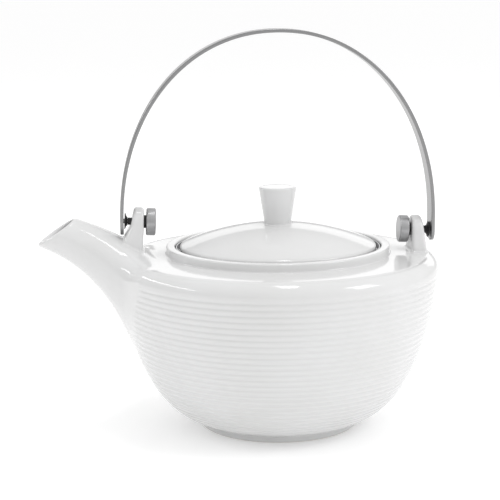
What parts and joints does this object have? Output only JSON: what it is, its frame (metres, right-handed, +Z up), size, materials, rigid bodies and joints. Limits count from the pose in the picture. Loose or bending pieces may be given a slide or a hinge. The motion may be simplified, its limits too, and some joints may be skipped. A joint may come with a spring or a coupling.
{
  "type": "teapot infuser",
  "caption": "Ribbed white porcelain teapot with a beak spout, recessed knobbed lid, lift-out steel infuser basket and a swinging flat steel bail handle.",
  "frame": {"origin": "centre of the foot ring, on the table", "axes": "+Z up, the spout points along -X, the bail's pivot axis runs along X"},
  "size_m": [0.211, 0.17, 0.2095],
  "materials": {
    "porcelain": "clear gloss glaze",
    "infuser_steel": "satin",
    "strip_steel": "brushed lengthways",
    "turned_steel": "fine turned",
    "black_rubber": "matt"
  },
  "bodies": {
    "pot": {"pot_body": "porcelain", "spout_side_sleeve": "black_rubber", "rear_side_sleeve": "black_rubber"},
    "bail": {"bail_strip": "strip_steel", "spout_side_screw": "turned_steel", "spout_side_disc_nut": "turned_steel", "spout_side_outer_washer": "black_rubber", "spout_side_inner_washer": "black_rubber", "rear_side_screw": "turned_steel", "rear_side_disc_nut": "turned_steel", "rear_side_outer_washer": "black_rubber", "rear_side_inner_washer": "black_rubber"},
    "infuser": {"infuser_rim": "infuser_steel", "infuser_wall": "infuser_steel", "infuser_base": "infuser_steel"},
    "lid": {"lid": "porcelain"}
  },
  "joints": [
    {"name": "bail_swing", "type": "hinge", "parent": "pot", "child": "bail", "pos_m": [0, 0, 0.10665], "axis": [0.9988, 0, -0.0499], "range_deg": [-96, 96]},
    {"name": "infuser_lift", "type": "slide", "parent": "pot", "child": "infuser", "axis": [0, 0, 1], "range_m": [0, 0.075]},
    {"name": "lid_lift", "type": "slide", "parent": "infuser", "child": "lid", "axis": [0, 0, 1], "range_m": [0, 0.06]}
  ]
}
